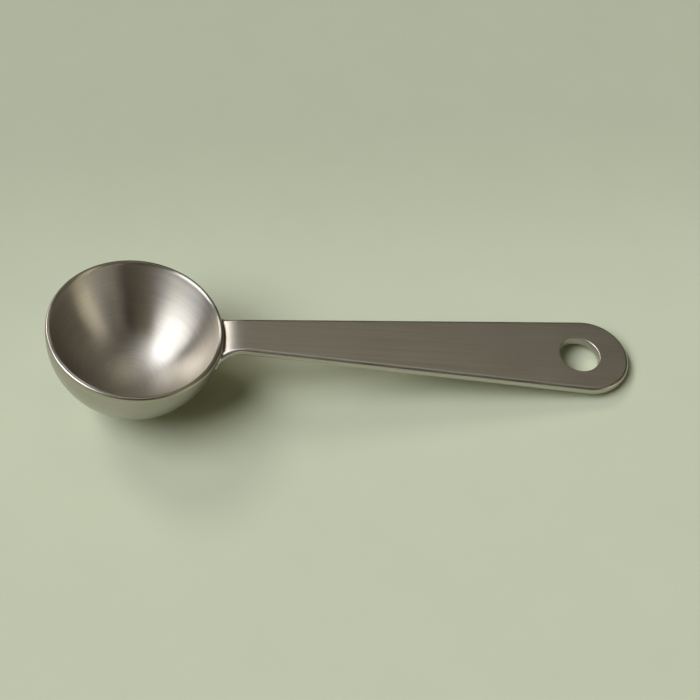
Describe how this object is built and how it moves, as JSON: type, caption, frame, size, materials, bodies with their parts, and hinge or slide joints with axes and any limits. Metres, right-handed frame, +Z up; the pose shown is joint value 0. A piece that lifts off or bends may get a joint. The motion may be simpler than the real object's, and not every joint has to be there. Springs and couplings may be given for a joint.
{
  "type": "measuring scoop",
  "caption": "Satin stainless steel measuring scoop: a hemispherical bowl with a straight lip, and a flat tapered handle welded to it, with a round tip and a hole to hang it by.",
  "frame": {"origin": "on the surface that the scoop lies on, under the middle of its bounding box", "axes": "+X along the handle towards its tip, +Y across the handle, +Z up from the surface"},
  "size_m": [0.1328, 0.0396, 0.0242],
  "materials": {
    "satin_bowl": "stainless steel, satin, brushed in circles round the bowl's axis",
    "brushed_handle": "stainless steel, brushed lengthwise, with eased edges",
    "dressed_weld": "stainless steel weld, ground and polished into both pieces"
  },
  "bodies": {
    "root": {"bowl": "satin_bowl", "handle": "brushed_handle", "weld_bead": "dressed_weld"}
  },
  "joints": []
}
